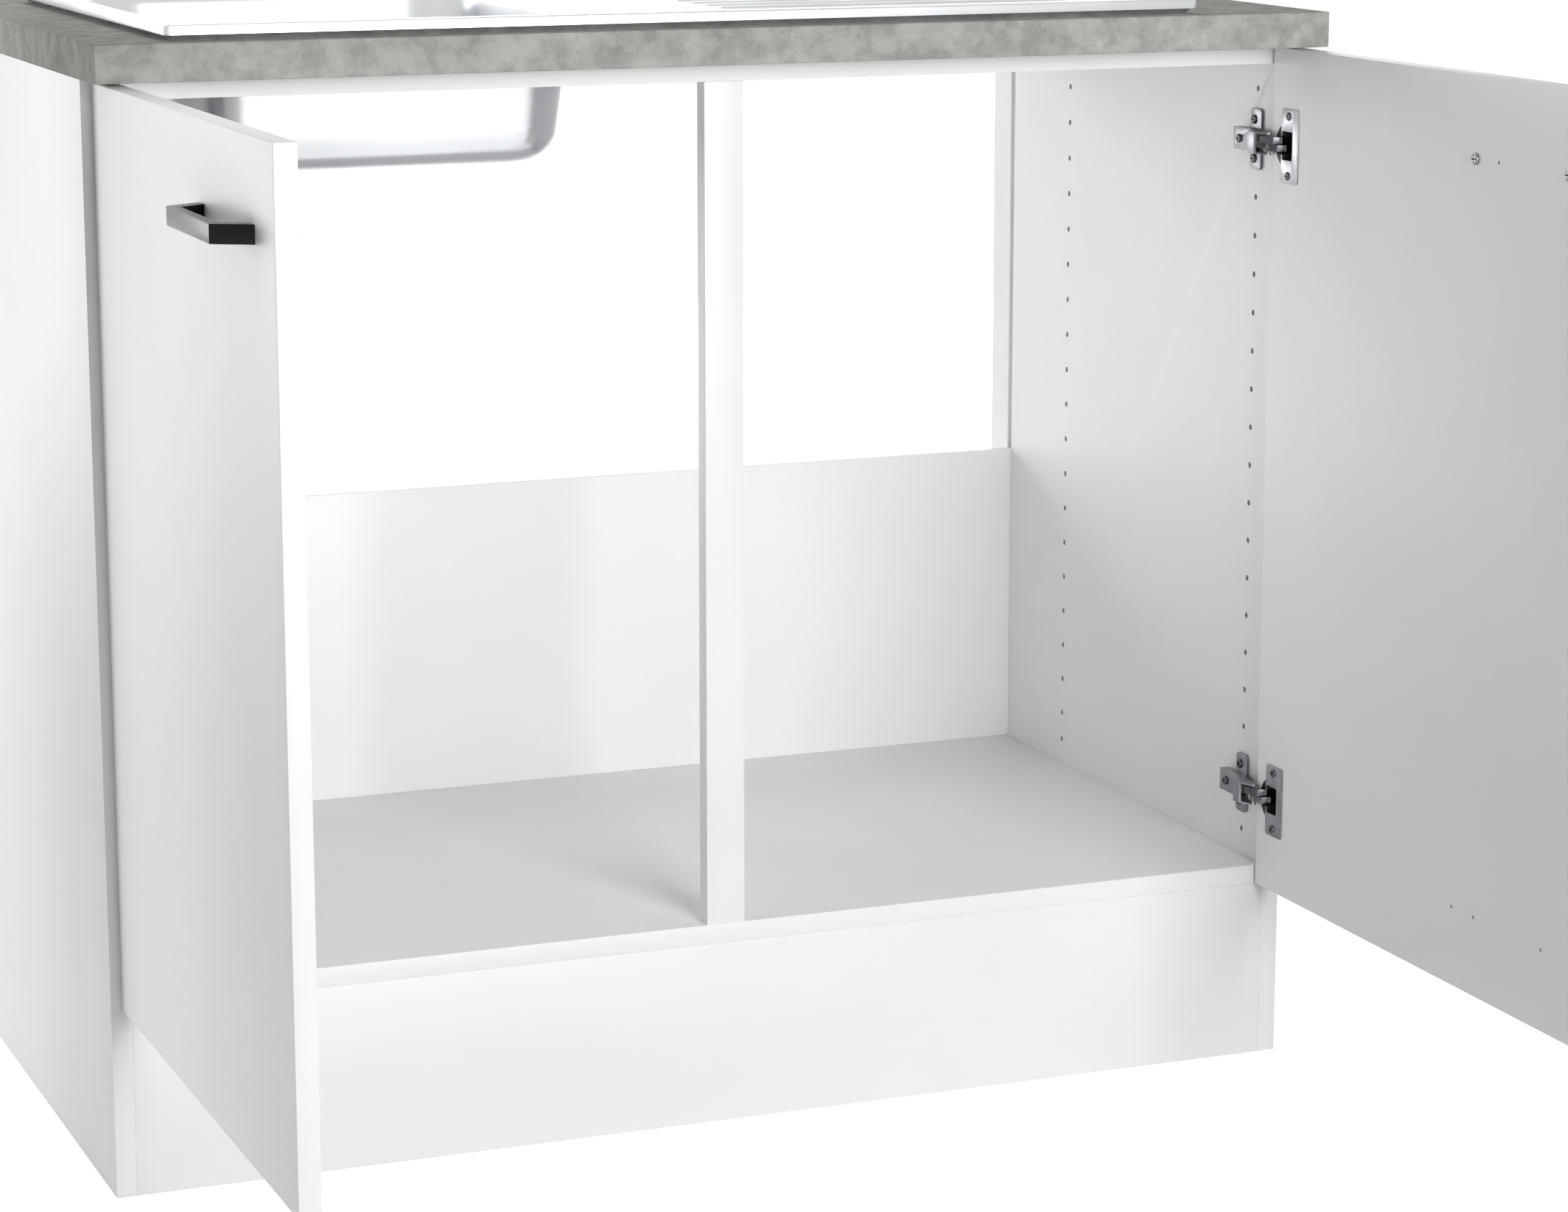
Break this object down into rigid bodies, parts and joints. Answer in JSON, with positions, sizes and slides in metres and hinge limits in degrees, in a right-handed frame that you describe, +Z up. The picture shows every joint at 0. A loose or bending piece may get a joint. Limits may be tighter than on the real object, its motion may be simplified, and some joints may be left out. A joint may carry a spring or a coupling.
{
  "type": "sink base cabinet",
  "caption": "Freestanding kitchen base cabinet with two hinged doors, an open service back, a worktop and a lay-on steel sink with bowl and drainer",
  "frame": {"origin": "on the floor, under the middle of the plinth board's thickness and the middle of the cabinet's width", "axes": "+X to the right seen from the front, +Y back towards the wall, +Z up"},
  "size_m": [1.036, 1.051, 0.892],
  "materials": {
    "white_board": "white melamine-faced chipboard, satin",
    "concrete_laminate": "chipboard with a mottled concrete-look laminate",
    "sink_steel": "pressed stainless steel with a fine satin grain",
    "hinge_steel": "nickel-plated pressed steel",
    "cup_steel": "nickel-plated hinge cup",
    "handle_black": "black lacquered metal, semi-gloss",
    "screw_steel": "zinc-plated steel"
  },
  "bodies": {
    "carcase": {"side_panel_left": "white_board", "side_panel_right": "white_board", "plinth_board": "white_board", "bottom_panel": "white_board", "front_rail": "white_board", "rear_rail": "white_board", "centre_post": "white_board", "back_panel": "white_board", "worktop": "concrete_laminate", "sink": "sink_steel", "left_lower_hinge_plate": "hinge_steel", "left_lower_hinge_arm": "hinge_steel", "left_lower_arm_screw": "screw_steel", "left_lower_plate_screw_1": "screw_steel", "left_lower_plate_screw_2": "screw_steel", "left_upper_hinge_plate": "hinge_steel", "left_upper_hinge_arm": "hinge_steel", "left_upper_arm_screw": "screw_steel", "left_upper_plate_screw_1": "screw_steel", "left_upper_plate_screw_2": "screw_steel", "right_lower_hinge_plate": "hinge_steel", "right_lower_hinge_arm": "hinge_steel", "right_lower_arm_screw": "screw_steel", "right_lower_plate_screw_1": "screw_steel", "right_lower_plate_screw_2": "screw_steel", "right_upper_hinge_plate": "hinge_steel", "right_upper_hinge_arm": "hinge_steel", "right_upper_arm_screw": "screw_steel", "right_upper_plate_screw_1": "screw_steel", "right_upper_plate_screw_2": "screw_steel"},
    "left_outer_links": {"left_lower_outer_link": "hinge_steel", "left_upper_outer_link": "hinge_steel"},
    "left_inner_links": {"left_lower_inner_link": "hinge_steel", "left_upper_inner_link": "hinge_steel"},
    "left_door_assembly": {"left_door": "white_board", "left_handle": "handle_black", "left_handle_screw_1": "screw_steel", "left_handle_screw_2": "screw_steel", "left_lower_hinge_cup": "cup_steel", "left_lower_cup_screw_1": "screw_steel", "left_lower_cup_screw_2": "screw_steel", "left_upper_hinge_cup": "cup_steel", "left_upper_cup_screw_1": "screw_steel", "left_upper_cup_screw_2": "screw_steel"},
    "right_outer_links": {"right_lower_outer_link": "hinge_steel", "right_upper_outer_link": "hinge_steel"},
    "right_inner_links": {"right_lower_inner_link": "hinge_steel", "right_upper_inner_link": "hinge_steel"},
    "right_door_assembly": {"right_door": "white_board", "right_handle": "handle_black", "right_handle_screw_1": "screw_steel", "right_handle_screw_2": "screw_steel", "right_lower_hinge_cup": "cup_steel", "right_lower_cup_screw_1": "screw_steel", "right_lower_cup_screw_2": "screw_steel", "right_upper_hinge_cup": "cup_steel", "right_upper_cup_screw_1": "screw_steel", "right_upper_cup_screw_2": "screw_steel"}
  },
  "joints": [
    {"name": "left_outer_link_swing", "type": "hinge", "parent": "carcase", "child": "left_outer_links", "pos_m": [-0.46721, -0.00227, 0.5], "axis": [0, 0, 1], "range_deg": [-34.7, 2]},
    {"name": "left_door_swing", "type": "hinge", "parent": "left_outer_links", "child": "left_door_assembly", "pos_m": [-0.4785, -0.0225, 0.5], "axis": [0, 0, -1], "range_deg": [-124.63, 6.9]},
    {"name": "left_inner_link_swing", "type": "hinge", "parent": "carcase", "child": "left_inner_links", "pos_m": [-0.47123, -0.01374, 0.5], "axis": [0, 0, 1], "range_deg": [-39.6, 2.3]},
    {"name": "right_outer_link_swing", "type": "hinge", "parent": "carcase", "child": "right_outer_links", "pos_m": [0.46721, -0.00227, 0.5], "axis": [0, 0, -1], "range_deg": [-34.7, 2]},
    {"name": "right_door_swing", "type": "hinge", "parent": "right_outer_links", "child": "right_door_assembly", "pos_m": [0.4785, -0.0225, 0.5], "axis": [0, 0, 1], "range_deg": [-124.63, 6.9]},
    {"name": "right_inner_link_swing", "type": "hinge", "parent": "carcase", "child": "right_inner_links", "pos_m": [0.47123, -0.01374, 0.5], "axis": [0, 0, -1], "range_deg": [-39.6, 2.3]}
  ],
  "couplings": [
    {"joint": "left_outer_link_swing", "follows": "left_door_swing", "ratio": 0.27786},
    {"joint": "left_inner_link_swing", "follows": "left_door_swing", "ratio": 0.31718},
    {"joint": "right_outer_link_swing", "follows": "right_door_swing", "ratio": 0.27786},
    {"joint": "right_inner_link_swing", "follows": "right_door_swing", "ratio": 0.31718}
  ]
}
